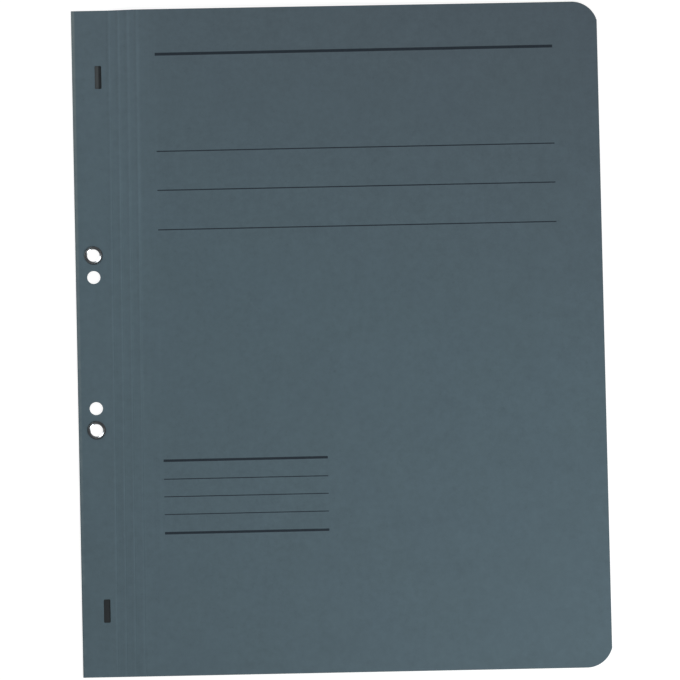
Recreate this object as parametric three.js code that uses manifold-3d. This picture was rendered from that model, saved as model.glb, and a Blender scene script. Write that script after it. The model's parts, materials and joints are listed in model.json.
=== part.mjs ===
// An A4 eyelet folder of manila card, closed and lying on its back cover.
// One sheet is folded at the left, riveted along a binding margin and creased so that the front
// cover opens. Inside, a metal fastener with two prongs, a bar and two sliders holds the paper.
// Millimetres: X runs from the fold to the fore edge, Y to the head of the page, Z out of the
// front cover. The origin is the middle of the underside.
import * as THREE from "three";
import { mergeVertices } from "three/addons/utils/BufferGeometryUtils.js";
import Module from "manifold-3d";

// Card blank
const coverWidth = 240;
const coverHeight = 305;
const cardThickness = 0.4;
const cornerRadius = 12;
const cornerDieOffset = 0.5; // the die stands this far past the fore edge, which leaves a small kink
const foreEdgeGap = 0.3; // between the two covers at the fore edge

// Creases beside the binding margin
const firstCreaseFromFold = 16.7;
const creasePitch = 4.2;
const creaseCount = 4;
const creaseGap = 0.3; // the groove between two panels

// Filing holes and slots in the binding margin
const holesFromFold = 8.2;
const plainHoleDiameter = 6;
const plainHoleSpacing = 60;
const slotsFromFold = 11.8;
const slotSpacing = 244;
const slotLength = 11;
const slotWidth = 3;
const slotCornerRadius = 0.8;

// Metal rail inside the margin
const railThickness = 0.3;
const railInset = 1.2; // from the fold and from the first crease
const railEndInset = 2.5; // from the head and foot of the card
const railHolePlay = 0.5; // the rail's holes stand back this far from the card's

// Eyelets
const eyeletSpacing = 80;
const eyeletBore = 5.8;
const eyeletWall = 0.25;
const eyeletFlangeWidth = 1.1; // what the flange stands out past the barrel
const eyeletFlangeHeight = 0.45;
const eyeletRimWidth = 1.1; // what the rolled rim stands out at the back
const eyeletRimDepth = 0.25; // how deep the rim is pressed into the back cover
const eyeletRimRound = 0.12;
const eyeletPlay = 0.1; // between the barrel or the rim and the card

// Fastener base and the card strip that holds it down
const fastenerFromFold = 39;
const metalThickness = 0.3;
const baseWidth = 10;
const baseOverhang = 6; // past the middle of each prong
const carrierWidth = 30;
const carrierEndInset = 4;
const carrierThickness = 0.4;
const pocketPlay = 0.1;

// Prongs
const prongSpacing = 80;
const prongWidth = 6;
const prongLength = 30;
const prongTipRadius = 2.6;
const prongPlay = 0.1; // above and below the bent prong
const prongSlotPlay = 0.3; // around the prong in the strip and in the bar

// Cover bar
const barOverhang = 15; // past the middle of each prong
const barWingWidth = 1.6;
const barWingLift = 0.45;
const barEndRadius = 3.5;

// Sliders
const sliderLength = 8;
const sliderThickness = 0.25;
const sliderPlay = 0.1;
const sliderSidePlay = 0.15;
const sliderFromProng = 7; // between their middles, parked clear of the prong
const coverClearance = 0.3; // between the sliders and the front cover

// Levels and places that follow from these sizes
const baseLength = prongSpacing + 2 * baseOverhang;
const barLength = prongSpacing + 2 * barOverhang;
const sliderFromMiddle = prongSpacing / 2 + sliderFromProng;
const backTop = cardThickness;
const railTop = backTop + railThickness;
const marginTop = railTop + cardThickness;
const foldRadius = marginTop / 2;
const cardHalfHeight = coverHeight / 2;
const baseTop = backTop + metalThickness;
const carrierTop = baseTop + pocketPlay + carrierThickness;
const prongLow = carrierTop + metalThickness + prongPlay;
const prongHigh = prongLow + metalThickness;
const troughHalfWidth = prongWidth / 2 + prongSlotPlay;
const barHalfWidth = troughHalfWidth + metalThickness + barWingWidth;
const wingLow = carrierTop + barWingLift;
const wingHigh = wingLow + metalThickness;
const sliderHalfWidth = barHalfWidth + sliderSidePlay + sliderThickness;
const roofLow = Math.max(wingHigh, prongHigh) + sliderPlay;
const roofHigh = roofLow + sliderThickness;
const barrelRadius = eyeletBore / 2 + eyeletWall;
const eyeletHoleRadius = barrelRadius + eyeletPlay;
const sides = [1, -1]; // the upper and the lower of each pair
const sideNames = ["upper", "lower"];

const fineArc = 16;
const coarseArc = 8;
const cutMargin = 1; // how far a cutting tool reaches past what it cuts

const wasm = await Module();
wasm.setup();

// Materials, one new one for each piece
function manilaCard() {
  return new THREE.MeshStandardMaterial({ color: 0x52606a, roughness: 0.85, metalness: 0 });
}

function carrierCard() {
  return new THREE.MeshStandardMaterial({ color: 0x5d6a72, roughness: 0.85, metalness: 0 });
}

function nickelPlate() {
  return new THREE.MeshStandardMaterial({ color: 0xb9bbbd, roughness: 0.25, metalness: 1 });
}

function tinnedSteel() {
  return new THREE.MeshStandardMaterial({ color: 0xa9adb0, roughness: 0.35, metalness: 1 });
}

function blackenedSteel() {
  return new THREE.MeshStandardMaterial({ color: 0x2e3236, roughness: 0.45, metalness: 0.8 });
}

// A closed geometry as a solid that can be cut and joined.
function solidOf(geometry) {
  const bare = geometry.clone();
  bare.deleteAttribute("normal");
  bare.deleteAttribute("uv");
  const merged = mergeVertices(bare, 1e-4);
  const vertProperties = merged.attributes.position.array;
  const triVerts = new Uint32Array(merged.index.array);
  return new wasm.Manifold(new wasm.Mesh({ numProp: 3, vertProperties, triVerts }));
}

function geometryOf(solid) {
  const mesh = solid.getMesh();
  const geometry = new THREE.BufferGeometry();
  geometry.setAttribute("position", new THREE.BufferAttribute(mesh.vertProperties, 3));
  geometry.setIndex(new THREE.BufferAttribute(mesh.triVerts, 1));
  geometry.computeVertexNormals();
  return geometry;
}

function cut(geometry, ...tools) {
  return geometryOf(tools.reduce((left, tool) => left.subtract(solidOf(tool)), solidOf(geometry)));
}

function join(first, ...others) {
  return geometryOf(others.reduce((made, other) => made.add(solidOf(other)), solidOf(first)));
}

function trim(geometry, outline) {
  return geometryOf(solidOf(geometry).intersect(solidOf(outline)));
}

// A flat sheet: an outline in X and Y, from one level to another.
function sheet(outline, low, high, curveSegments = fineArc) {
  const settings = { depth: high - low, bevelEnabled: false, curveSegments };
  return new THREE.ExtrudeGeometry(outline, settings).translate(0, 0, low);
}

// A section in X and Z carried along Y, with its middle at y = 0.
function alongY(section, length, curveSegments = coarseArc) {
  const settings = { depth: length, bevelEnabled: false, curveSegments };
  const run = new THREE.ExtrudeGeometry(section, settings);
  return run.rotateX(Math.PI / 2).translate(0, length / 2, 0);
}

// A block between two corners.
function block(lowX, highX, lowY, highY, lowZ, highZ) {
  const size = [highX - lowX, highY - lowY, highZ - lowZ];
  const middle = [(lowX + highX) / 2, (lowY + highY) / 2, (lowZ + highZ) / 2];
  return new THREE.BoxGeometry(...size).translate(...middle);
}

function roundHole(x, y, radius) {
  return new THREE.Path().absarc(x, y, radius, 0, 2 * Math.PI);
}

// A rectangle with round corners, as an outline or as a hole.
function roundedRectangle(path, x, y, width, height, radius) {
  const right = x + width / 2 - radius;
  const left = x - width / 2 + radius;
  const top = y + height / 2 - radius;
  const bottom = y - height / 2 + radius;
  path.absarc(right, bottom, radius, -Math.PI / 2, 0);
  path.absarc(right, top, radius, 0, Math.PI / 2);
  path.absarc(left, top, radius, Math.PI / 2, Math.PI);
  path.absarc(left, bottom, radius, Math.PI, 1.5 * Math.PI);
  path.closePath();
  return path;
}

// The outline of a cover from a straight left edge to the fore edge with its two round corners.
function coverOutline(left, foreEdge) {
  const centreX = foreEdge - cornerRadius + cornerDieOffset;
  const centreY = cardHalfHeight - cornerRadius;
  const kink = Math.acos((cornerRadius - cornerDieOffset) / cornerRadius);
  const outline = new THREE.Shape();
  outline.moveTo(left, cardHalfHeight);
  outline.lineTo(left, -cardHalfHeight);
  outline.absarc(centreX, -centreY, cornerRadius, -Math.PI / 2, -kink);
  outline.absarc(centreX, centreY, cornerRadius, kink, Math.PI / 2);
  outline.closePath();
  return outline;
}

function stripOutline(left, right, halfHeight) {
  const outline = new THREE.Shape();
  outline.moveTo(left, -halfHeight);
  outline.lineTo(right, -halfHeight);
  outline.lineTo(right, halfHeight);
  outline.lineTo(left, halfHeight);
  outline.closePath();
  return outline;
}

// The four filing holes of a layer of the margin: two plain ones and two for the eyelets.
function filingHoles(plainRadius, eyeletRadius) {
  return sides.flatMap((side) => [
    roundHole(holesFromFold, (side * plainHoleSpacing) / 2, plainRadius),
    roundHole(holesFromFold, (side * eyeletSpacing) / 2, eyeletRadius),
  ]);
}

function backCover() {
  const outline = coverOutline(foldRadius, coverWidth);
  outline.holes.push(...filingHoles(plainHoleDiameter / 2, eyeletHoleRadius));
  const rimRadius = barrelRadius + eyeletRimWidth + eyeletPlay;
  const recesses = sides.map((side) => {
    const rim = roundHole(holesFromFold, (side * eyeletSpacing) / 2, rimRadius);
    return sheet(new THREE.Shape(rim.getPoints(fineArc)), -cutMargin, eyeletRimDepth);
  });
  return cut(sheet(outline, 0, backTop), ...recesses);
}

// The fold is a half ring of card, as deep as the two layers and the rail between them.
function spineFold() {
  const section = new THREE.Shape();
  section.absarc(foldRadius, foldRadius, foldRadius, Math.PI / 2, 1.5 * Math.PI);
  section.absarc(foldRadius, foldRadius, railThickness / 2, 1.5 * Math.PI, Math.PI / 2, true);
  section.closePath();
  return alongY(section, coverHeight);
}

function bindingMargin() {
  const outline = stripOutline(foldRadius, firstCreaseFromFold - creaseGap / 2, cardHalfHeight);
  outline.holes.push(...filingHoles(plainHoleDiameter / 2, eyeletHoleRadius));
  for (const side of sides) {
    const middle = (side * slotSpacing) / 2;
    outline.holes.push(
      roundedRectangle(new THREE.Path(), slotsFromFold, middle, slotWidth, slotLength, slotCornerRadius),
    );
  }
  return sheet(outline, railTop, marginTop);
}

function marginRail() {
  const right = firstCreaseFromFold - railInset;
  const outline = stripOutline(foldRadius + railInset, right, cardHalfHeight - railEndInset);
  const play = railHolePlay;
  outline.holes.push(...filingHoles(plainHoleDiameter / 2 + play, eyeletHoleRadius + play));
  return sheet(outline, backTop, railTop);
}

// An eyelet is turned from a profile: a domed flange on the margin, a barrel through the card and
// a flat rolled rim in the back cover.
function eyelet(side) {
  const bore = eyeletBore / 2;
  const flange = barrelRadius + eyeletFlangeWidth;
  const rim = barrelRadius + eyeletRimWidth;
  const domeMiddle = (bore + flange) / 2;
  const domeHalfWidth = (flange - bore) / 2;
  const domeSteps = 8;
  const profile = [
    new THREE.Vector2(bore, eyeletRimRound),
    new THREE.Vector2(bore + eyeletRimRound, 0),
    new THREE.Vector2(rim - eyeletRimRound, 0),
    new THREE.Vector2(rim, eyeletRimRound),
    new THREE.Vector2(rim, eyeletRimDepth),
    new THREE.Vector2(barrelRadius, eyeletRimDepth),
    new THREE.Vector2(barrelRadius, marginTop),
  ];
  for (let step = 0; step <= domeSteps; step += 1) {
    const angle = (Math.PI * step) / domeSteps;
    const radius = domeMiddle + domeHalfWidth * Math.cos(angle);
    profile.push(new THREE.Vector2(radius, marginTop + eyeletFlangeHeight * Math.sin(angle)));
  }
  profile.push(profile[0].clone());
  const turned = new THREE.LatheGeometry(profile, 2 * fineArc).rotateX(Math.PI / 2);
  return turned.translate(holesFromFold, (side * eyeletSpacing) / 2, 0);
}

// The base is a flat strip with two uprights, which the prongs bend from.
function fastenerBase() {
  const outline = roundedRectangle(
    new THREE.Shape(), fastenerFromFold, 0, baseWidth, baseLength, baseWidth / 2,
  );
  const uprights = sides.map((side) => {
    const y = (side * prongSpacing) / 2;
    return block(
      fastenerFromFold - prongWidth / 2, fastenerFromFold + prongWidth / 2,
      y - metalThickness / 2, y + metalThickness / 2,
      backTop + metalThickness / 2, prongLow - prongPlay,
    );
  });
  return join(sheet(outline, backTop, baseTop), ...uprights);
}

// Slots that let the prongs through the card strip and through the bar.
function prongSlots(low, high) {
  return sides.map((side) => {
    const y = (side * prongSpacing) / 2;
    const halfWidth = prongWidth / 2 + prongSlotPlay;
    const halfDepth = metalThickness / 2 + prongSlotPlay;
    return block(
      fastenerFromFold - halfWidth, fastenerFromFold + halfWidth,
      y - halfDepth, y + halfDepth, low, high,
    );
  });
}

// A full-height strip of card, glued down and embossed where it covers the base.
function carrierStrip() {
  const left = fastenerFromFold - carrierWidth / 2;
  const right = fastenerFromFold + carrierWidth / 2;
  const strip = stripOutline(left, right, cardHalfHeight - carrierEndInset);
  const pocketWidth = baseWidth + 2 * pocketPlay;
  const pocketLength = baseLength + 2 * pocketPlay;
  const ridgeWidth = pocketWidth + 2 * carrierThickness;
  const ridgeLength = pocketLength + 2 * carrierThickness;
  const ridge = roundedRectangle(
    new THREE.Shape(), fastenerFromFold, 0, ridgeWidth, ridgeLength, ridgeWidth / 2,
  );
  const pocket = roundedRectangle(
    new THREE.Shape(), fastenerFromFold, 0, pocketWidth, pocketLength, pocketWidth / 2,
  );
  return cut(
    join(sheet(strip, backTop, backTop + carrierThickness), sheet(ridge, backTop, carrierTop)),
    sheet(pocket, backTop - cutMargin, baseTop + pocketPlay),
    ...prongSlots(backTop, carrierTop + cutMargin),
  );
}

// A prong lies bent over the bar, with a round tip towards the middle of the folder.
function prong(side) {
  const root = prongSpacing / 2 + metalThickness / 2;
  const tip = prongSpacing / 2 - prongLength;
  const halfWidth = prongWidth / 2;
  const flat = halfWidth - prongTipRadius;
  const outline = new THREE.Shape();
  outline.moveTo(halfWidth, root);
  outline.lineTo(-halfWidth, root);
  outline.absarc(-flat, tip + prongTipRadius, prongTipRadius, Math.PI, 1.5 * Math.PI);
  outline.absarc(flat, tip + prongTipRadius, prongTipRadius, 1.5 * Math.PI, 2 * Math.PI);
  outline.closePath();
  const leaf = sheet(outline, prongLow, prongHigh, coarseArc);
  if (side < 0) leaf.rotateZ(Math.PI);
  return leaf.translate(fastenerFromFold, 0, 0);
}

// The bar is a strip pressed into a shallow trough for the prongs, with a wing along each side.
function coverBar() {
  const inner = troughHalfWidth;
  const outer = inner + metalThickness;
  const floor = carrierTop + metalThickness;
  const section = new THREE.Shape();
  section.moveTo(-barHalfWidth, wingLow);
  section.lineTo(-outer, wingLow);
  section.lineTo(-outer, carrierTop);
  section.lineTo(outer, carrierTop);
  section.lineTo(outer, wingLow);
  section.lineTo(barHalfWidth, wingLow);
  section.lineTo(barHalfWidth, wingHigh);
  section.lineTo(inner, wingHigh);
  section.lineTo(inner, floor);
  section.lineTo(-inner, floor);
  section.lineTo(-inner, wingHigh);
  section.lineTo(-barHalfWidth, wingHigh);
  section.closePath();
  const run = alongY(section, barLength + 2 * cutMargin).translate(fastenerFromFold, 0, 0);
  const ends = roundedRectangle(
    new THREE.Shape(), fastenerFromFold, 0,
    2 * (barHalfWidth + cutMargin), barLength, barEndRadius + cutMargin,
  );
  const trimmed = trim(run, sheet(ends, 0, wingHigh + cutMargin));
  return cut(trimmed, ...prongSlots(0, floor + cutMargin));
}

// A slider is a clip folded round the wings of the bar.
function slider(side) {
  const inside = barHalfWidth + sliderSidePlay;
  const lipEnd = troughHalfWidth + metalThickness + sliderSidePlay;
  const lipHigh = wingLow - sliderPlay;
  const lipLow = lipHigh - sliderThickness;
  const section = new THREE.Shape();
  section.moveTo(-sliderHalfWidth, lipLow);
  section.lineTo(-lipEnd, lipLow);
  section.lineTo(-lipEnd, lipHigh);
  section.lineTo(-inside, lipHigh);
  section.lineTo(-inside, roofLow);
  section.lineTo(inside, roofLow);
  section.lineTo(inside, lipHigh);
  section.lineTo(lipEnd, lipHigh);
  section.lineTo(lipEnd, lipLow);
  section.lineTo(sliderHalfWidth, lipLow);
  section.lineTo(sliderHalfWidth, roofHigh);
  section.lineTo(-sliderHalfWidth, roofHigh);
  section.closePath();
  return alongY(section, sliderLength).translate(fastenerFromFold, side * sliderFromMiddle, 0);
}

// The front cover slopes from over the fastener down to the fore edge. The strips between the
// creases climb in one straight slope from the margin to the line of its top face.
function coverSlope() {
  const first = new THREE.Vector2(firstCreaseFromFold, marginTop);
  const foreTop = new THREE.Vector2(coverWidth, backTop + foreEdgeGap + cardThickness);
  const overSlider = new THREE.Vector2(
    fastenerFromFold + sliderHalfWidth,
    roofHigh + coverClearance + cardThickness,
  );
  const back = overSlider.clone().sub(foreTop).normalize();
  const span = foreTop.clone().sub(first);
  const climb = creasePitch * (creaseCount - 1);
  const along = back.dot(span);
  const coverLength = -along - Math.sqrt(along ** 2 - span.lengthSq() + climb ** 2);
  const last = foreTop.clone().addScaledVector(back, coverLength);
  const stripAngle = Math.atan2(last.y - first.y, last.x - first.x);
  const coverAngle = Math.atan2(back.y, -back.x);
  return { first, stripAngle, coverAngle, coverLength };
}

function creaseStrip() {
  const outline = stripOutline(creaseGap / 2, creasePitch - creaseGap / 2, cardHalfHeight);
  return sheet(outline, -cardThickness, 0);
}

function frontCover(coverLength) {
  return sheet(coverOutline(creaseGap / 2, coverLength), -cardThickness, 0);
}

function addPiece(group, name, geometry, material) {
  const mesh = new THREE.Mesh(geometry, material);
  mesh.name = name;
  group.add(mesh);
}

// Each crease is a group inside the one before, with its turning axis on the top face.
function addOpeningCover(group) {
  const { first, stripAngle, coverAngle, coverLength } = coverSlope();
  let carrier = new THREE.Group();
  carrier.name = "crease_1";
  carrier.position.set(first.x, 0, first.y);
  carrier.rotation.y = -stripAngle;
  group.add(carrier);
  for (let strip = 1; strip < creaseCount; strip += 1) {
    addPiece(carrier, `crease_strip_${strip}`, creaseStrip(), manilaCard());
    const next = new THREE.Group();
    next.name = `crease_${strip + 1}`;
    next.position.set(creasePitch, 0, 0);
    carrier.add(next);
    carrier = next;
  }
  carrier.rotation.y = stripAngle + coverAngle;
  addPiece(carrier, "front_cover", frontCover(coverLength), manilaCard());
}

const folder = new THREE.Group();
const fromFold = new THREE.Group();
fromFold.position.x = -coverWidth / 2;
folder.add(fromFold);

addPiece(fromFold, "back_cover", backCover(), manilaCard());
addPiece(fromFold, "spine_fold", spineFold(), manilaCard());
addPiece(fromFold, "binding_margin", bindingMargin(), manilaCard());
addPiece(fromFold, "margin_rail", marginRail(), blackenedSteel());
addPiece(fromFold, "fastener_base", fastenerBase(), tinnedSteel());
addPiece(fromFold, "carrier_strip", carrierStrip(), carrierCard());
addPiece(fromFold, "cover_bar", coverBar(), tinnedSteel());
sides.forEach((side, index) => {
  addPiece(fromFold, `${sideNames[index]}_eyelet`, eyelet(side), nickelPlate());
  addPiece(fromFold, `${sideNames[index]}_prong`, prong(side), tinnedSteel());
  addPiece(fromFold, `${sideNames[index]}_slider`, slider(side), tinnedSteel());
});
addOpeningCover(fromFold);

export default folder;
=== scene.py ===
"""The card filing folder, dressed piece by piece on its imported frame."""

import json

import bmesh
import bpy
import numpy as np
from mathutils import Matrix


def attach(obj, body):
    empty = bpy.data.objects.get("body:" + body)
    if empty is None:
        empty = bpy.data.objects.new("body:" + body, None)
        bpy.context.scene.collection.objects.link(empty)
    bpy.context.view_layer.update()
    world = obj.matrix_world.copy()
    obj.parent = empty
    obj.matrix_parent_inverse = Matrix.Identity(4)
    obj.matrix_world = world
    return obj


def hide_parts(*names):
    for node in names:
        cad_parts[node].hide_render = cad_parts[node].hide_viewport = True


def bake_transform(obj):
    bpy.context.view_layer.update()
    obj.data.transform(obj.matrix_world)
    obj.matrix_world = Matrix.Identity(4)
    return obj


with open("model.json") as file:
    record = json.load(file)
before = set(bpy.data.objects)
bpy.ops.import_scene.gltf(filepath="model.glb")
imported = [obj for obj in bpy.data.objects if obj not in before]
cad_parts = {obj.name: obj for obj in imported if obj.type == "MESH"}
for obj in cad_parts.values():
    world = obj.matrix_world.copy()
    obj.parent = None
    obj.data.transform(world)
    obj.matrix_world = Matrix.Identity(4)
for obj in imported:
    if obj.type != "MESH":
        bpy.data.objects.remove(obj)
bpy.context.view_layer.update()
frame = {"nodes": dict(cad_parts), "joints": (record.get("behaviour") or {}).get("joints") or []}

# Camera
# The folder was photographed from straight above and far away. Place, turn and lens were fitted to
# its four corners and to the holes of its margin, for an image of 680 by 680.
camera = bpy.data.objects.new("camera", bpy.data.cameras.new("camera"))
camera.data.sensor_width = 36
camera.data.lens = 529.41
camera.data.clip_end = 30
camera.location = (-0.0914896, -0.5032738, 4.5221740)
camera.rotation_euler = (0.1110567, -0.0177345, -0.0217054)
bpy.context.scene.collection.objects.link(camera)
bpy.context.scene.camera = camera

# Light
# A plain studio: a dark ceiling with a bright wall all round, and two soft lamps, at the head on
# the left and at the foot on the right. The one at the foot is the stronger, as in the photograph.
wall_to_ceiling = ((0.0, 1.0), (0.2, 0.75), (0.45, 0.28), (0.75, 0.07))
scene = bpy.context.scene
scene.view_settings.view_transform = "Standard"


def grey(level):
    """The colour whose red, green and blue are all this level."""
    return (level, level, level, 1.0)


class Wire:
    """A value in a node tree. Arithmetic on it adds Math nodes, and node() adds any other kind."""

    def __init__(self, tree, socket=None):
        self.tree = tree
        self.socket = socket

    def node(self, kind, inputs=None, output=0, stops=None, **settings):
        """Adds a node: its settings, then its ramp's stops, then what its sockets take."""
        made = self.tree.nodes.new("ShaderNode" + kind)
        for key, value in settings.items():
            setattr(made, key, value)
        if stops:
            ramp = made.color_ramp.elements
            while len(ramp) < len(stops):
                ramp.new(1.0)
            for element, (place, level) in zip(ramp, stops):
                element.position = place
                element.color = grey(level)
        for key, value in (inputs or {}).items():
            self.feed(made.inputs[key], value)
        return Wire(self.tree, made.outputs[output])

    def feed(self, socket, value):
        """Links a wire to a socket, or writes a plain value into it."""
        if isinstance(value, Wire):
            self.tree.links.new(value.socket, socket)
        else:
            socket.default_value = value

    def math(self, operation, *values):
        """What a Math node makes of these values."""
        return self.node("Math", dict(enumerate(values)), operation=operation)

    def vector(self, operation, *values):
        """What a Vector Math node makes of these values."""
        return self.node("VectorMath", dict(enumerate(values)), operation=operation)

    def axis(self, letter):
        """The X, Y or Z of this place."""
        return self.node("SeparateXYZ", {0: self}, output=letter)

    def noise(self, scale, detail, roughness=0.5):
        """Noise at this place, from 0 to 1 about a half."""
        inputs = {"Vector": self, "Scale": scale, "Detail": detail, "Roughness": roughness}
        return self.node("TexNoise", inputs)

    def mix(self, low, high):
        """The colour between low and high at this factor."""
        return self.node("Mix", {0: self, 6: low, 7: high}, output=2, data_type="RGBA")

    def ramp(self, *stops):
        """This value through a ramp of (place, level) stops."""
        return self.node("ValToRGB", {0: self}, stops=stops)

    def clamp(self):
        """This value, held between 0 and 1."""
        return self.node("Clamp", {0: self})

    def rise(self, start, width):
        """0 up to start, and 1 from a width past it: this less start, over width, clamped. With a
        width below 0 it is 0 above start and 1 further down."""
        return ((self - start) / width).clamp()

    def bump(self, strength, distance):
        """The normals of a surface that is raised by this value times a distance in metres."""
        return self.node("Bump", {"Strength": strength, "Distance": distance, "Height": self})

    def __add__(self, other):
        return self.math("ADD", self, other)

    def __radd__(self, other):
        return self.math("ADD", other, self)

    def __sub__(self, other):
        return self.math("SUBTRACT", self, other)

    def __rsub__(self, other):
        return self.math("SUBTRACT", other, self)

    def __mul__(self, other):
        return self.math("MULTIPLY", self, other)

    def __rmul__(self, other):
        return self.math("MULTIPLY", other, self)

    def __truediv__(self, other):
        return self.math("DIVIDE", self, other)

    def __rtruediv__(self, other):
        return self.math("DIVIDE", other, self)

    def __pow__(self, other):
        return self.math("POWER", self, other)

    def __rpow__(self, other):
        return self.math("POWER", other, self)

    def __neg__(self):
        return self.math("SUBTRACT", 0.0, self)


world = bpy.data.worlds.new("studio")
scene.world = world
world.use_nodes = True
sky = Wire(world.node_tree)
sky_sockets = world.node_tree.nodes["Background"].inputs
sky_sockets["Strength"].default_value = 1.0
height = sky.node("TexCoord", output="Generated").axis("Z")
sky.feed(sky_sockets["Color"], height.ramp(*wall_to_ceiling))


def soft_lamp(name, place, power, size):
    """A square area lamp at place that looks at the middle of the folder."""
    lamp = bpy.data.lights.new(name, "AREA")
    lamp.energy = power
    lamp.size = size
    made = bpy.data.objects.new(name, lamp)
    made.location = place
    made.rotation_euler = made.location.to_track_quat("Z", "Y").to_euler()
    scene.collection.objects.link(made)


soft_lamp("head_lamp", (-0.40, 0.33, 0.50), 1.75, 0.3)
soft_lamp("foot_lamp", (0.38, -0.36, 0.50), 4.1, 0.4)

# Floor
# A white sheet under the folder. Seen straight on it glows a little, so that it renders white and
# still takes the folder's soft shadow. Its paper colour is what lights the folder from the side.
floor_half = 15.0
floor_drop = 0.00004
floor_corners = ((-1, -1), (1, -1), (1, 1), (-1, 1))
floor_paper = grey(0.75)
floor_seen = grey(0.3)
floor_glow = grey(0.83)


def new_object(name, points, faces):
    """An object at the origin whose mesh has these points, in metres, and these faces."""
    mesh = bpy.data.meshes.new(name)
    mesh.from_pydata(np.asarray(points, float).tolist(), [], [tuple(f) for f in faces])
    mesh.update()
    made = bpy.data.objects.new(name, mesh)
    scene.collection.objects.link(made)
    return made


def new_material(name):
    """A material with its shader's socket names, and a wire that starts its node tree."""
    made = bpy.data.materials.new(name)
    made.use_nodes = True
    return made, made.node_tree.nodes["Principled BSDF"].inputs, Wire(made.node_tree)


floor = new_object(
    "floor",
    [(a * floor_half, b * floor_half, -floor_drop) for a, b in floor_corners],
    [(0, 1, 2, 3)],
)
floor_paint, floor_sockets, wire = new_material("white_floor")
rays = wire.node("LightPath").socket.node.outputs
seen = Wire(wire.tree, rays["Is Camera Ray"])
for kind in ("Is Glossy Ray", "Is Transmission Ray"):
    seen = wire.math("MAXIMUM", seen, Wire(wire.tree, rays[kind]))
wire.feed(floor_sockets["Base Color"], seen.mix(floor_paper, floor_seen))
floor_sockets["Specular IOR Level"].default_value = 0.0
floor_sockets["Roughness"].default_value = 1.0
wire.feed(floor_sockets["Emission Color"], seen.mix(grey(0.0), floor_glow))
floor_sockets["Emission Strength"].default_value = 1.0
floor.data.materials.append(floor_paint)

# Card blank
# The whole folder is one sheet of blue-grey manila card. It is folded over at the left, and four
# pressed creases beside the binding margin let the cover lie flat when it is opened.
MM = 0.001
mm_per_metre = 1000
half_width = 120.0
half_height = 152.5
card_thick = 0.4
corner_radius = 12.0
corner_trim = 0.5
corner_middle = half_width + corner_trim - corner_radius
fold_radius = 0.35
fold_at = -half_width + fold_radius + card_thick / 2
back_middle = card_thick / 2
crease_radius = 0.5
edge_round = 0.07
groove_depth = 0.07
groove_width = 0.28
crease_skew = 0.006
cover_slope = -0.5571
hole_x = -111.8
run_on = 1

hinge = {
    joint["name"]: mm_per_metre * np.array(joint["pos_m"])[[0, 2]]
    for joint in frame["joints"]
    if "pos_m" in joint
}
first = hinge["first_crease"]
last = hinge["fourth_crease"]
strip_turn = np.arctan2(*(last - first)[::-1])
cover_turn = cover_slope * np.pi / 180
crease_pitch = np.hypot(*(last - first)) / 3

# A hinge lies on the card's upper face, so a bend's middle is a little off it on the middle line:
# by half the thickness times the tangent of half the turn.
bend_slack = card_thick / 2 * np.tan(strip_turn / 2)
fold_start = half_width - fold_at
fold_end = fold_start + fold_radius * np.pi
first_at = fold_end + first[0] + bend_slack - fold_at
crease_at = first_at + crease_pitch * np.arange(4) + bend_slack * np.array([0, 1, 1, 2])
sheet_end = crease_at[3] + (half_width - last[0] - bend_slack) / np.cos(cover_turn)

turn_at = [0, fold_start, fold_end]
turn_to = [-np.pi, -np.pi, -2 * np.pi]
for place, turn in ((crease_at[0], strip_turn), (crease_at[3], cover_turn)):
    turn_at += [place - crease_radius, place + crease_radius]
    turn_to += [turn_to[-1], turn - 2 * np.pi]
turn_at.append(sheet_end + run_on)
turn_to.append(turn_to[-1])


def card_line(along):
    """Place (x, z) and heading of the card's middle layer at distances along it, in mm.

    The heading is level but for one half turn at the fold and small turns at the first and last
    crease; x and z are the running sums of its cosine and sine from the back's fore edge."""
    step = 0.005
    fine = np.arange(0, sheet_end + run_on, step)
    heading = np.interp(fine + step / 2, turn_at, turn_to)
    x = half_width + step * np.concatenate([[0], np.cumsum(np.cos(heading))[:-1]])
    z = back_middle + step * np.concatenate([[0], np.cumsum(np.sin(heading))[:-1]])
    return np.interp(along, fine, x), np.interp(along, fine, z), np.interp(along, turn_at, turn_to)


def outline_half(x):
    """Half the card's height at x: straight, then a quarter round to the fore edge."""
    past = np.clip(x - corner_middle, 0, half_width - corner_middle)
    return half_height - corner_radius + np.sqrt(corner_radius**2 - past**2)


def cover_lift(x, y):
    """How far the free cover stands off its flat place at (x, y), in mm and never below 0: slow
    waves along and across it and a rise at its two free corners, all faded in past the creases."""
    free_from = 6
    free_width = 70
    wave_height = 0.16
    wave_share = 0.5
    corner_rise = 0.35
    free = np.clip((x - last[0] - free_from) / free_width, 0, 1)
    free = free**2 * (3 - 2 * free)
    square_wave = np.sin(x / 41 + 0.6) * np.cos(y / 67 + 0.4)
    slant_wave = np.sin(y / 53 - x / 90)
    waves = 1 + wave_share * square_wave + wave_share * slant_wave
    corner = np.clip(x / half_width, 0, 1) ** 3 * np.abs(y / half_height) ** 4
    return free * (wave_height * waves + corner_rise * corner)


def grooves(along, y):
    """Depth of the four pressed creases, one column a place and one row a height: a narrow bell
    at each crease, which leans a little away from the fold towards the head."""
    away = along[:, None, None] - crease_skew * y[:, :, None] - crease_at[None, None, :]
    return groove_depth * np.exp(-((away / groove_width) ** 2)).sum(2)


def quads(index):
    """The faces between neighbouring rings of a grid of point numbers, one closed ring a row."""
    after = np.roll(index, -1, 1)
    return np.stack([index[:-1], after[:-1], after[1:], index[1:]], 2).reshape(-1, 4)


def outward(points, faces):
    """The faces, turned over where the volume they close comes out negative."""
    a, b, c, d = (points[faces[:, k]] for k in range(4))
    volume = np.einsum("ij,ij->", a, np.cross(b, c)) + np.einsum("ij,ij->", a, np.cross(c, d))
    return faces if volume > 0 else faces[:, ::-1]


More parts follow.
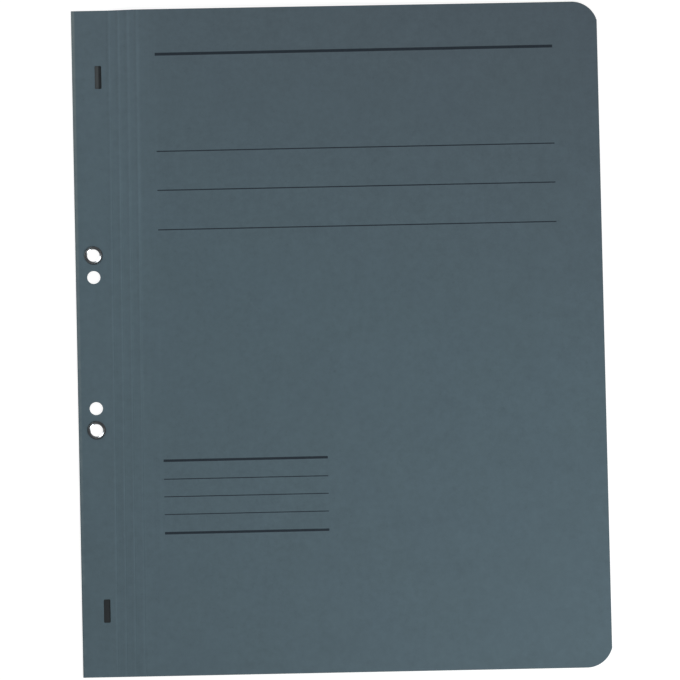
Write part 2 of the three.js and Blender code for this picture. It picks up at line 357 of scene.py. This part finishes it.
def card_skin(along, rows, lift=None):
    """A closed skin round the card between two places on its middle line.

    Each column is a ring: outer face up, two points on the head edge, inner face down, two on the
    foot edge. A face point is the middle line's point plus or minus half the thickness along the
    line's normal, and y is its row times the half height there."""
    touching = 0.001
    x, z, heading = card_line(along)
    normal = np.stack([-np.sin(heading), np.cos(heading)], 1)
    thick = np.full(len(along), card_thick / 2)
    thick[(along < touching) | (along > sheet_end - touching)] -= edge_round
    half = outline_half(x)
    faces_y = np.outer(half - edge_round, np.linspace(-1, 1, rows))
    press = grooves(along, faces_y)

    def layer(y, off):
        """Points off the middle line by off along its normal, at height y."""
        return np.stack([x[:, None] + normal[:, :1] * off, y, z[:, None] + normal[:, 1:] * off], 2)

    outer = layer(faces_y, thick[:, None] - press)
    inner = layer(faces_y, -thick[:, None] - press)
    sides = []
    for side, end in ((1, -1), (-1, 0)):
        edge_y = np.repeat(side * half[:, None], 2, 1)
        off = (thick[:, None] - edge_round) * np.array([[side, -side]]) - press[:, [end, end]]
        sides.append(layer(edge_y, off))
    ring = np.concatenate([outer, sides[0], inner[:, ::-1], sides[1]], 1)
    if lift is not None:
        ring[:, :, 2] += lift(ring[:, :, 0], ring[:, :, 1])
    points = ring.reshape(-1, 3)
    index = np.arange(len(points)).reshape(ring.shape[:2])

    # An end is closed by faces from its outer row across to its inner row, and one at each edge.
    up = np.arange(rows - 1)
    down = 2 * rows + 1 - up
    cap = np.concatenate(
        [
            np.stack([up, down, down - 1, up + 1], 1),
            [[rows - 1, rows + 2, rows + 1, rows]],
            [[2 * rows + 1, 0, 2 * rows + 3, 2 * rows + 2]],
        ]
    )
    faces = np.concatenate([quads(index), index[0][cap], index[-1][cap[:, ::-1]]])
    return points, outward(points, faces)


def columns_between(start, end, gap):
    """Places from start to end: close together at the fold, the creases, the holes of the back and
    the rounded corners, and gap apart elsewhere."""
    corner_width = half_width - corner_middle
    hole_at = half_width - hole_x
    hole_reach = 5.0
    crease_reach = 1.0
    fold_gap = 0.09
    crease_gap = 0.1
    corner_gap = 0.5
    hole_gap = 1.0
    least_gap = 0.03
    close = [
        (fold_start, fold_end, fold_gap),
        (0, corner_width, corner_gap),
        (sheet_end - corner_width, sheet_end, corner_gap),
        (hole_at - hole_reach, hole_at + hole_reach, hole_gap),
    ]
    close += [(at - crease_reach, at + crease_reach, crease_gap) for at in crease_at]
    places = [np.arange(start, end, gap), [start, end]]
    places += [np.arange(max(low, start), min(high, end), fine) for low, high, fine in close]
    for near in (edge_round, sheet_end - edge_round):
        if start <= near <= end:
            places.append([near])
    found = np.unique(np.round(np.concatenate(places), 3))
    found = found[np.concatenate([[True], np.diff(found) > least_gap])]
    found[-1] = end
    return found


# Each skin ends halfway along a strip, and crosses one crease at most.
margin_flap = 1.4
margin_end = crease_at[0] - margin_flap
mid_strip = (crease_at[:3] + crease_at[1:]) / 2
skins = (
    ("back_and_margin_card", 0.0, margin_end, 5.0, ("back_cover", "spine_fold", "binding_margin")),
    ("first_crease_card", margin_end, mid_strip[0], 1.0, ("crease_strip_1",)),
    ("second_crease_card", mid_strip[0], mid_strip[1], 1.0, ("crease_strip_2",)),
    ("third_crease_card", mid_strip[1], mid_strip[2], 1.0, ("crease_strip_3",)),
    ("front_cover_card", mid_strip[2], sheet_end, 3.0, ("front_cover",)),
)
card_rows = 77
card = {}
for name, start, end, gap, nodes in skins:
    lift = cover_lift if name == "front_cover_card" else None
    points, faces = card_skin(columns_between(start, end, gap), card_rows, lift)
    card[name] = new_object(name, points * MM, faces)

# Punched holes of the margin
# One stroke of the punch goes through both layers: two eyelet holes and two plain holes. Two slots
# near the ends go through the upper layer alone, a little askew on the card.
eyelet_y = 40.0
plain_y = 30.0
slot_middle = (-108.36, -0.35)
slot_apart = 122.1
slot_lean = 0.002
slot_size = (3.0, 10.6)
slot_corner = 0.5
slot_depth = (0.55, 2.0)
eyelet_hole = [(4.35, -1.0), (4.35, 0.26), (3.25, 0.3), (3.25, 2.5)]
plain_hole = [(3.0, -1.0), (3.0, 2.5)]


def turned(profile, centre, around):
    """The profile's (radius, height) points carried round centre: x and y are the radius times the
    cosine and sine of the angle. Gives the points and the grid of their numbers, a ring a row."""
    profile = np.asarray(profile, float)
    angle = np.linspace(0, 2 * np.pi, around, endpoint=False)
    ring = np.stack(
        [
            centre[0] + profile[:, 0, None] * np.cos(angle),
            centre[1] + profile[:, 0, None] * np.sin(angle),
            np.repeat(profile[:, 1, None], around, 1),
        ],
        2,
    )
    points = ring.reshape(-1, 3)
    return points, np.arange(len(points)).reshape(len(profile), around)


def slot_block(centre, around=8):
    """A block of the slot's size with a quarter circle at each corner, from the lower to the upper
    depth: points and the grid of their numbers, a ring a row."""
    half = np.array(slot_size) / 2 - slot_corner
    quarter = np.linspace(0, np.pi / 2, around)
    angle = np.concatenate([quarter + k * np.pi / 2 for k in range(4)])
    sign = np.repeat([[1, 1], [-1, 1], [-1, -1], [1, -1]], around, 0)
    curve = slot_corner * np.stack([np.cos(angle), np.sin(angle)], 1)
    flat = np.array(centre) + sign * half + curve
    levels = [np.column_stack([flat, np.full(len(flat), level)]) for level in slot_depth]
    return np.concatenate(levels), np.arange(2 * len(flat)).reshape(2, -1)


def capped(index):
    """All faces of a solid from the grid of its point numbers: those between its rings, and one
    flat face on the first ring and on the last."""
    return quads(index).tolist() + [index[0][::-1].tolist(), index[-1].tolist()]


def cut(obj, points, index, name):
    """Takes this solid out of obj exactly, and leaves nothing of the cutter."""
    cutter = new_object(name, points * MM, capped(index))
    bpy.context.view_layer.update()
    step = obj.modifiers.new(name, "BOOLEAN")
    step.object = cutter
    step.operation = "DIFFERENCE"
    step.solver = "EXACT"
    graph = bpy.context.evaluated_depsgraph_get()
    made = bpy.data.meshes.new_from_object(obj.evaluated_get(graph))
    obj.modifiers.clear()
    obj.data = made
    bpy.data.objects.remove(cutter)


blank = card["back_and_margin_card"]
hole_facets = 64
for side in (1, -1):
    cut(blank, *turned(eyelet_hole, (hole_x, side * eyelet_y), hole_facets), "eyelet_punch")
    cut(blank, *turned(plain_hole, (hole_x, side * plain_y), hole_facets), "plain_punch")
    away = side * slot_apart * np.array([slot_lean, 1.0])
    cut(blank, *slot_block(slot_middle + away), "slot_punch")

# Card finish
# Blue-grey manila card, matt and very even, with a fine fibre in it and painted shade that darkens it
# slightly towards the head. The pressed creases show as pale lines of painted highlight with painted
# shade on one side, the fold carries a painted highlight that grows towards the head, and the cut
# edges are rubbed a little paler. Places are in mm.
card_colour = (0.0745, 0.1126, 0.1342)
# Painted highlight: the paler colour of the fold, where light falls on its round.
fold_highlight_colour = (0.15, 0.186, 0.193, 1.0)
core_colour = (0.13, 0.165, 0.18, 1.0)
# Painted shade: the share of each colour that is left at the head.
head_shade_share = (0.995, 0.91, 0.915, 1.0)

# Each noise is its scale per mm, its detail, its roughness, and its stretch along x, y and z.
cloud_noise = (0.03, 2.0)
broad_noise = (0.09, 2.0, 0.6)
small_noise = (0.32, 3.0, 0.7)
long_fibre_noise = (3.2, 2.0, 0.6, (1.0, 0.35, 1.0))
short_fibre_noise = (9.0, 2.0, 0.6, (1.0, 0.3, 1.0))
dark_fleck_noise = (0.55, 2.0)
pale_fleck_noise = (0.7, 2.0, 0.5, (1.0, 0.6, 1.0))
patch_noise = (0.05, 2.0)
streak_noise = (0.9, 3.0, 0.6, (1.0, 0.02, 1.0))
broad_share = 0.35
small_share = 0.78
long_fibre_share = 0.1
short_fibre_share = 0.2
cloud_strength = 0.04
mottle_strength = 0.39
fibre_strength = 0.6
dark_fleck_strength = 0.065
pale_fleck_strength = 0.04
fleck_from = 1 / 6
fleck_width = 1 / 12

# Painted highlight along each crease, with more on the last one towards the foot, and painted shade
# beside each; a faint fifth pale line; painted light over the tilted strips; and a paler band over the
# margin. A growth is the gain in strength for each mm towards the head.
first_mark = 16.55
mark_pitch = 4.27
crease_marks = (-half_width + first_mark + mark_pitch * np.arange(4)).tolist()
# Painted highlight along each crease, then the painted shade beside each.
crease_highlight_gains = (1.0, 1.0, 0.95, 1.1)
crease_highlight_strength = 0.095
headward_growth = 0.0003
crease_highlight_sharpness = 1.6
patch_strength = 2.2
shade_strength = 0.03
shade_growth = 0.0002
shade_sharpness = 1.5
shade_offset = 1.1
fifth_mark = -82.5
fifth_strength = 0.02
fifth_sharpness = 1.4
# Painted light that lifts the shade of the tilted strips between the first and last crease.
strip_light_strength = 0.04
strip_edge = 0.8
# More painted highlight along the last crease, towards the foot.
foot_reach = 250 / 3
foot_highlight_strength = 0.09
foot_highlight_sharpness = 1.3
# A paler band over the margin and the creases, fading out past them, stronger towards the head.
margin_paling_from = -78.0
margin_paling_width = 14.0
margin_paling_strength = 0.05
streaks_between = (-108.0, -76.0)
streak_edges = (3.0, 8.0)
streak_strength = 0.1
# Painted shade, darker towards the head and the right.
head_shade_from = 15.0
head_shade_width = 175.0
head_shade_lean = 0.35
# Painted highlight along the fold, stronger towards the head.
fold_highlight_from = 1.75
fold_highlight_width = 0.5
fold_highlight_strength = 0.31
fold_highlight_growth = 0.002
fold_highlight_mottle = 0.8
edge_from = -0.04
edge_width = 0.03
edge_wear = 0.6

# The card is matt, and its fibres stand up more than its mottle.
card_roughness = 0.84
roughness_mottle = 0.1
relief_fibre = 6.0
relief_mottle = 0.8


def card_material(name, colour):
    """Manila card in a colour, in mm of the flat card, with its crease lines and a painted highlight
    on its fold.

    The tone is 1 plus mottle, fibre and flecks, plus a bell of painted highlight at each pressed line
    and less one of painted shade beside it. The colour times the tone takes painted shade towards the
    head and a painted highlight at the fold, and pales at the edges."""
    made, sockets, wire = new_material(name)
    place = wire.node("Attribute", output="Vector", attribute_name="card_xyz")
    x = place.axis("X")
    y = place.axis("Y")

    def noise(scale, detail, roughness=0.5, stretch=(1.0, 1.0, 1.0)):
        """Noise about 0 in space stretched this much along each axis."""
        return place.vector("MULTIPLY", place, stretch).noise(scale, detail, roughness) - 0.5

    def bell(from_middle, sharpness):
        """One at the middle of a line and falling off to both sides: e to the power of minus the
        square of the distance times the sharpness."""
        return wire.math("EXPONENT", -((from_middle * sharpness) ** 2.0))

    mottle = noise(*broad_noise) * broad_share + noise(*small_noise) * small_share
    fibre = noise(*long_fibre_noise) * long_fibre_share
    fibre = fibre + noise(*short_fibre_noise) * short_fibre_share
    dark_fleck = noise(*dark_fleck_noise).rise(fleck_from, fleck_width)
    pale_fleck = noise(*pale_fleck_noise).rise(-fleck_from, -fleck_width)
    tone = 1.0 + mottle * mottle_strength + fibre * fibre_strength
    tone = tone - dark_fleck * dark_fleck_strength + pale_fleck * pale_fleck_strength

    across = x - y * crease_skew
    # Painted highlight along each crease and painted shade beside it.
    patch = 1.0 + noise(*patch_noise) * patch_strength
    pale = (crease_highlight_strength + y * headward_growth) * patch
    dark = shade_strength + y * shade_growth
    for mark, gain in zip(crease_marks, crease_highlight_gains):
        tone = tone + bell(across - mark, crease_highlight_sharpness) * pale * gain
        tone = tone - bell(across - mark + shade_offset, shade_sharpness) * dark
    fifth = bell(across - fifth_mark, fifth_sharpness)
    # Painted light over the tilted strips between the first and last crease.
    strip_light = across.rise(crease_marks[0], strip_edge) * across.rise(crease_marks[3], -strip_edge)
    tone = tone + fifth * fifth_strength + strip_light * strip_light_strength

    # Paler over the margin and the creases, stronger towards the head.
    margin_paling = x.rise(margin_paling_from, -margin_paling_width) * (margin_paling_strength + y * headward_growth)
    # More painted highlight along the last crease, towards the foot.
    foot = bell(across - crease_marks[3], foot_highlight_sharpness) * y.rise(-foot_reach, -foot_reach)
    streak = x.rise(streaks_between[1], -streak_edges[1]) * x.rise(streaks_between[0], streak_edges[0])
    streak = streak * noise(*streak_noise)
    tone = tone + margin_paling + foot * foot_highlight_strength + streak * streak_strength
    blue = tone + noise(*cloud_noise) * cloud_strength
    tinted = tone.node("CombineXYZ", {0: tone, 1: tone, 2: blue})
    paint = place.vector("MULTIPLY", tinted, colour)

    # Painted shade, darker towards the head and the right.
    head_shade = (y + x * head_shade_lean).rise(head_shade_from, head_shade_width)
    paint = place.vector("MULTIPLY", paint, head_shade.mix(grey(1.0), head_shade_share))
    from_fold = x + half_width
    # Painted highlight along the fold, stronger towards the head.
    fold_highlight = fold_highlight_strength + mottle * fold_highlight_mottle + y * fold_highlight_growth
    fold_highlight = from_fold.rise(fold_highlight_from, -fold_highlight_width) * fold_highlight
    paint = fold_highlight.mix(paint, fold_highlight_colour)
    past = wire.math("MAXIMUM", x - corner_middle, 0.0)
    past = wire.math("MINIMUM", past, half_width - corner_middle)
    outline = half_height - corner_radius + (corner_radius**2 - past * past) ** 0.5
    from_edge = wire.math("MAXIMUM", wire.math("ABSOLUTE", y) - outline, x - half_width)
    paint = (from_edge.rise(edge_from, edge_width) * edge_wear).mix(paint, core_colour)
    wire.feed(sockets["Base Color"], paint)
    wire.feed(sockets["Roughness"], card_roughness + mottle * roughness_mottle)
    sockets["Specular IOR Level"].default_value = 0.28
    relief = fibre * relief_fibre + mottle * relief_mottle + streak
    wire.feed(sockets["Normal"], relief.bump(0.3, 0.00008))
    return made


def smooth_with_edges(obj, angle):
    """Shades obj smooth, with a hard edge wherever two faces turn by more than the angle."""
    obj.data.polygons.foreach_set("use_smooth", np.ones(len(obj.data.polygons), bool))
    obj.data.set_sharp_from_angle(angle=np.radians(angle))


def rest_places(obj):
    """Keeps each point's place at rest, in mm, so that the card's pattern bends with it."""
    kept = obj.data.attributes.new("card_xyz", "FLOAT_VECTOR", "POINT")
    places = np.zeros(len(obj.data.vertices) * 3, np.float32)
    obj.data.vertices.foreach_get("co", places)
    kept.data.foreach_set("vector", places * mm_per_metre)


manila = card_material("manila_card", card_colour)
card_edge_angle = 35
bend_reach = 0.6
crossed = ("folder_back", "first_strip", "second_strip", "third_strip", "cover_panel")
for k, (name, start, end, gap, nodes) in enumerate(skins):
    piece = card[name]
    smooth_with_edges(piece, card_edge_angle)
    rest_places(piece)
    piece.data.materials.clear()
    piece.data.materials.append(manila)
    if k == 0:
        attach(piece, "folder_back")
    else:
        x, z, _ = card_line(crease_at[k - 1] + np.array([-bend_reach, bend_reach]))
        crossed[k - 1]
        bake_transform(piece)
    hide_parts(*nodes)

# Printed lines
# Plain ruling lines printed in black on the cover, for writing on: four across the upper half and
# five short ones at the lower left. The print sits a little askew on the card.
print_turn = 0.003
ink_thick = 0.02
head_line = 1.32
upper_line = 0.48
block_line = 1.116
lower_line = 0.384
upper_reach = (37.9, 219.4)
lower_reach = (38.3, 112.9)
rulings = [(131.9, head_line, upper_reach)]
rulings += [(y, upper_line, upper_reach) for y in (87.2, 69.3, 51.2)]
rulings += [(y, block_line, lower_reach) for y in (-54.45, -87.5)]
rulings += [(y, lower_line, lower_reach) for y in (-62.9, -70.9, -79.0)]
fresh_ink = (0.015, 0.022, 0.030, 1.0)
worn_ink = (0.026, 0.036, 0.046, 1.0)


def cover_top(x, y):
    """Height of the cover's outer face at (x, y), from the card's middle line and its lift."""
    line_x, line_z, _ = card_line(np.linspace(mid_strip[2], sheet_end, 400))
    return np.interp(x, line_x, line_z) + card_thick / 2 + cover_lift(x, y)


def ink_line(y, width, reach, stations=61):
    """A thin slab on the cover: stations along the line and four corners at each, two just under
    the cover's face and two just over it. Gives points and the grid of their numbers."""
    x = np.linspace(*reach, stations) - half_width
    middle = y + print_turn * x
    corners = []
    for side, level in ((-1, -0.5), (1, -0.5), (1, 1), (-1, 1)):
        across = middle + side * width / 2
        corners.append(np.stack([x, across, cover_top(x, across) + level * ink_thick], 1))
    points = np.stack(corners, 1).reshape(-1, 3)
    return points, np.arange(len(points)).reshape(stations, 4)


def joined(parts):
    """Points and faces of one mesh made of capped solids, each given as points and their grid."""
    counts = np.cumsum([0] + [len(points) for points, _ in parts])
    faces = []
    for (_, index), count in zip(parts, counts):
        faces += capped(index + count)
    return np.concatenate([points for points, _ in parts]), faces


ink, ink_sockets, wire = new_material("printing_ink")
place = wire.node("TexCoord", output="Object")
wear = place.noise(2600.0, 2.0).ramp((0.3, 0.0), (0.75, 1.0))
wire.feed(ink_sockets["Base Color"], wear.mix(fresh_ink, worn_ink))
wire.feed(ink_sockets["Roughness"], 0.7 + wear * 0.2)
ink_sockets["Specular IOR Level"].default_value = 0.1
points, faces = joined([ink_line(*ruling) for ruling in rulings])
lines = new_object("printed_lines", points * MM, faces)
lines.data.materials.append(ink)
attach(lines, "cover_panel")

# Eyelets
# Each is a short brass tube plated with nickel, set through both layers of the margin: a broad
# flange on the front, darkened round its outer edge with painted shade that also dims its glints
# there, and a rim rolled over on the back.
bore = 2.82
barrel = 3.15
flange = 4.14
flange_top = 1.5
card_face = 1.1
flare = 1.6
flare_from = 3.75
lip_radius = 0.03
rim_radius = 0.11
# Painted shade round the flange's outer edge: its width and blur, in mm.
edge_shade_width = 0.14
edge_shade_blur = 0.06
eyelet_facets = 96
eyelet_edge_angle = 40
nickel_dull = (0.42, 0.455, 0.48, 1.0)
nickel_bright = (0.55, 0.59, 0.615, 1.0)
# The colour of the painted shade on the flange's outer edge.
nickel_edge_shade = (0.1, 0.11, 0.12, 1.0)


def arc(centre, radius, start, end, count):
    """Points of a circle's arc from one angle to another, in degrees."""
    angle = np.radians(np.linspace(start, end, count))
    return [(centre[0] + radius * np.cos(a), centre[1] + radius * np.sin(a)) for a in angle]


# The profile goes up the bore, out over the flared lip, round the flange's edge, back under it,
# down the outside of the tube and round the rolled rim.
eyelet_profile = (
    [(bore, 0.14), (bore, 0.6), (bore, 1.24)]
    + arc((flare_from, flange_top - flare), flare, 120, 92, 8)
    + [(flange - 0.25, flange_top), (flange - 0.05, flange_top - 0.03)]
    + arc((flange - lip_radius, flange_top - 0.06), lip_radius, 80, 0, 4)
    + [(flange, 1.3), (flange, card_face + 0.01)]
    + [(barrel + 0.25, card_face), (barrel, 1.02), (barrel, 0.36), (barrel + 0.15, 0.25)]
    + arc((flange - rim_radius, 0.14), rim_radius, 90, -90, 6)
    + [(bore + 0.35, 0.03), (bore + 0.1, 0.05)]
)


def lathe(profile, centre, around):
    """A closed turned shape: the profile is a loop, so its last ring joins its first."""
    points, index = turned(profile, centre, around)
    return points, outward(points, quads(np.concatenate([index, index[:1]])))


nickel, nickel_sockets, wire = new_material("nickel_plate")
place = wire.node("TexCoord", output="Object")
grain = place.noise(1800.0, 3.0)
stain = place.noise(420.0, 2.0).ramp((0.35, 0.0), (0.7, 1.0))
east = place.axis("X") / MM - hole_x
north = wire.math("ABSOLUTE", place.axis("Y")) / MM - eyelet_y
from_middle = (east * east + north * north) ** 0.5
# Painted shade: the flange is darkened round its outer edge.
flange_edge_shade = from_middle.rise(flange - edge_shade_width, edge_shade_blur)
plating = stain.mix(nickel_dull, nickel_bright)
wire.feed(nickel_sockets["Base Color"], flange_edge_shade.mix(plating, nickel_edge_shade))
nickel_sockets["Metallic"].default_value = 1.0
wire.feed(nickel_sockets["Roughness"], 0.17 + grain * 0.12)
wire.feed(nickel_sockets["Normal"], grain.bump(0.2, 0.00002))

for side, name, node in (
    (1, "upper_eyelet_shell", "upper_eyelet"),
    (-1, "lower_eyelet_shell", "lower_eyelet"),
):
    points, faces = lathe(eyelet_profile, (hole_x, side * eyelet_y), eyelet_facets)
    shell = new_object(name, points * MM, faces)
    smooth_with_edges(shell, eyelet_edge_angle)
    shell.data.materials.append(nickel)
    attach(shell, "folder_back")
    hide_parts(node)

# Margin rail
# A strip of blackened sheet steel lies between the two layers of the margin and stiffens it. It
# is seen only through the two slots, and carries painted light at the left of the upper one, paler
# there as where light falls into that side of the slot.
rail_black = (0.007, 0.01, 0.012, 1.0)
rail_scuffed = (0.014, 0.018, 0.021, 1.0)
# Painted light: the paler colour at the left of the upper slot, and where it starts, in metres.
rail_lit = (0.048, 0.055, 0.058, 1.0)
rail_lit_from = -0.1078
rail_lit_width = 0.0003
rail_lit_height = 0.05
steel_edge = 0.06
rail_paint, rail_sockets, wire = new_material("blackened_steel")
place = wire.node("TexCoord", output="Object")
scuff = place.noise(900.0, 4.0)
# Painted light at the left of the upper slot.
lit_side = place.axis("X").rise(rail_lit_from, -rail_lit_width)
lit_side = lit_side * place.axis("Y").rise(0.0, rail_lit_height)
black = scuff.ramp((0.3, 0.0), (0.8, 1.0)).mix(rail_black, rail_scuffed)
wire.feed(rail_sockets["Base Color"], lit_side.mix(black, rail_lit))
rail_sockets["Specular IOR Level"].default_value = 0.35
wire.feed(rail_sockets["Roughness"], 0.45 + scuff * 0.25)
wire.feed(rail_sockets["Normal"], scuff.bump(0.2, 0.00003))


def finished(node, name, body, paint, edge):
    """The node's own solid with its triangles joined and its edges rounded off, as a new piece."""
    merge_gap = 0.000002
    flat_angle = 1
    bevel_angle = 40
    mesh = frame["nodes"][node].data.copy()
    work = bmesh.new()
    work.from_mesh(mesh)
    bmesh.ops.remove_doubles(work, verts=work.verts, dist=merge_gap)
    flat = np.radians(flat_angle)
    bmesh.ops.dissolve_limit(work, angle_limit=flat, verts=work.verts, edges=work.edges)
    work.to_mesh(mesh)
    work.free()
    made = bpy.data.objects.new(name, mesh)
    scene.collection.objects.link(made)
    mesh.materials.clear()
    mesh.materials.append(paint)
    mesh.polygons.foreach_set("use_smooth", np.ones(len(mesh.polygons), bool))
    rounding = made.modifiers.new("rounded_edges", "BEVEL")
    rounding.width = edge * MM
    rounding.segments = 2
    rounding.limit_method = "ANGLE"
    rounding.angle_limit = np.radians(bevel_angle)
    rounding.harden_normals = True
    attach(made, body)
    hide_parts(node)
    return made


finished(
    "margin_rail", "margin_rail_strip", "folder_back", rail_paint, steel_edge
)

# Carrier strip
# A strip of the same card, glued over the fastener's base on the inside of the back. It holds the
# base down, and the prongs come up through its two slots.
pulp_dark = (0.096, 0.13, 0.152, 1.0)
pulp_pale = (0.112, 0.148, 0.172, 1.0)
strip_rounding = 0.08
carrier, carrier_sockets, wire = new_material("carrier_card")
place = wire.node("TexCoord", output="Object")
pulp = place.noise(700.0, 5.0, 0.65)
wire.feed(carrier_sockets["Base Color"], pulp.mix(pulp_dark, pulp_pale))
wire.feed(carrier_sockets["Roughness"], 0.8 + pulp * 0.1)
wire.feed(carrier_sockets["Normal"], pulp.bump(0.3, 0.00005))
finished(
    "carrier_strip", "carrier_strip_card", "folder_back", carrier, strip_rounding
)

# Prong fastener
# Tinned sheet steel: a base under the carrier strip, two prongs that the punched sheets go on, a
# cover bar that presses on the sheets, and two sliders that lock the bent prongs on it.
tin_dull = (0.50, 0.51, 0.52, 1.0)
tin_bright = (0.60, 0.61, 0.62, 1.0)
drawn_stretch = (14.0, 1.0, 1.0)
tin, tin_sockets, wire = new_material("tinned_steel")
place = wire.node("TexCoord", output="Object")
drawn = place.vector("MULTIPLY", place, drawn_stretch).noise(260.0, 3.0)
wire.feed(tin_sockets["Base Color"], place.noise(130.0, 2.0).mix(tin_dull, tin_bright))
tin_sockets["Metallic"].default_value = 1.0
wire.feed(tin_sockets["Roughness"], 0.24 + drawn * 0.2)
wire.feed(tin_sockets["Normal"], drawn.bump(0.15, 0.00002))
for node, name, body in (
    ("fastener_base", "fastener_base_strip", "folder_back"),
    ("cover_bar", "cover_bar_strip", "folder_back"),
    ("upper_prong", "upper_prong_tongue", "upper_tongue"),
    ("lower_prong", "lower_prong_tongue", "lower_tongue"),
    ("upper_slider", "upper_slider_cap", "upper_lock"),
    ("lower_slider", "lower_slider_cap", "lower_lock"),
):
    finished(node, name, body, tin, steel_edge)

# Grip ribs
# Each slider has three ribs of the same tinned steel pressed up across its top, for the thumb that
# pushes it.
slider_x = -81.0
slider_y = 47.0
slider_top = 2.3
rib_pitch = 1.7
rib_length = 7.6
rib_half_width = 0.42
rib_height = 0.15
rib_blunt = 0.08
rib_edge_angle = 60


def pressed_rib(middle, stations=24, around=16):
    """A flattened capsule: rings along x whose radius is a quarter round at both ends, so that
    y = radius times cosine and z = height times radius times sine. Gives points and their grid."""
    turn = np.linspace(rib_blunt, np.pi / 2, stations // 2)
    along = np.concatenate([-np.cos(turn), np.cos(turn[::-1])]) * rib_half_width
    along += np.repeat([-1, 1], stations // 2) * (rib_length / 2 - rib_half_width)
    radius = np.concatenate([np.sin(turn), np.sin(turn[::-1])])
    angle = np.linspace(0, 2 * np.pi, around, endpoint=False)
    ring = np.stack(
        [
            np.repeat(along[:, None], around, 1),
            np.outer(radius, np.cos(angle)) * rib_half_width,
            np.outer(radius, np.sin(angle)) * rib_height,
        ],
        2,
    )
    points = ring.reshape(-1, 3)
    return points + np.array(middle), np.arange(len(points)).reshape(stations, around)


for side, name, body in (
    (1, "upper_slider_ribs", "upper_lock"),
    (-1, "lower_slider_ribs", "lower_lock"),
):
    steps = (-rib_pitch, 0.0, rib_pitch)
    ribs_at = [(slider_x, side * slider_y + step, slider_top) for step in steps]
    points, faces = joined([pressed_rib(middle) for middle in ribs_at])
    ribs = new_object(name, points * MM, faces)
    smooth_with_edges(ribs, rib_edge_angle)
    ribs.data.materials.append(tin)
    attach(ribs, body)
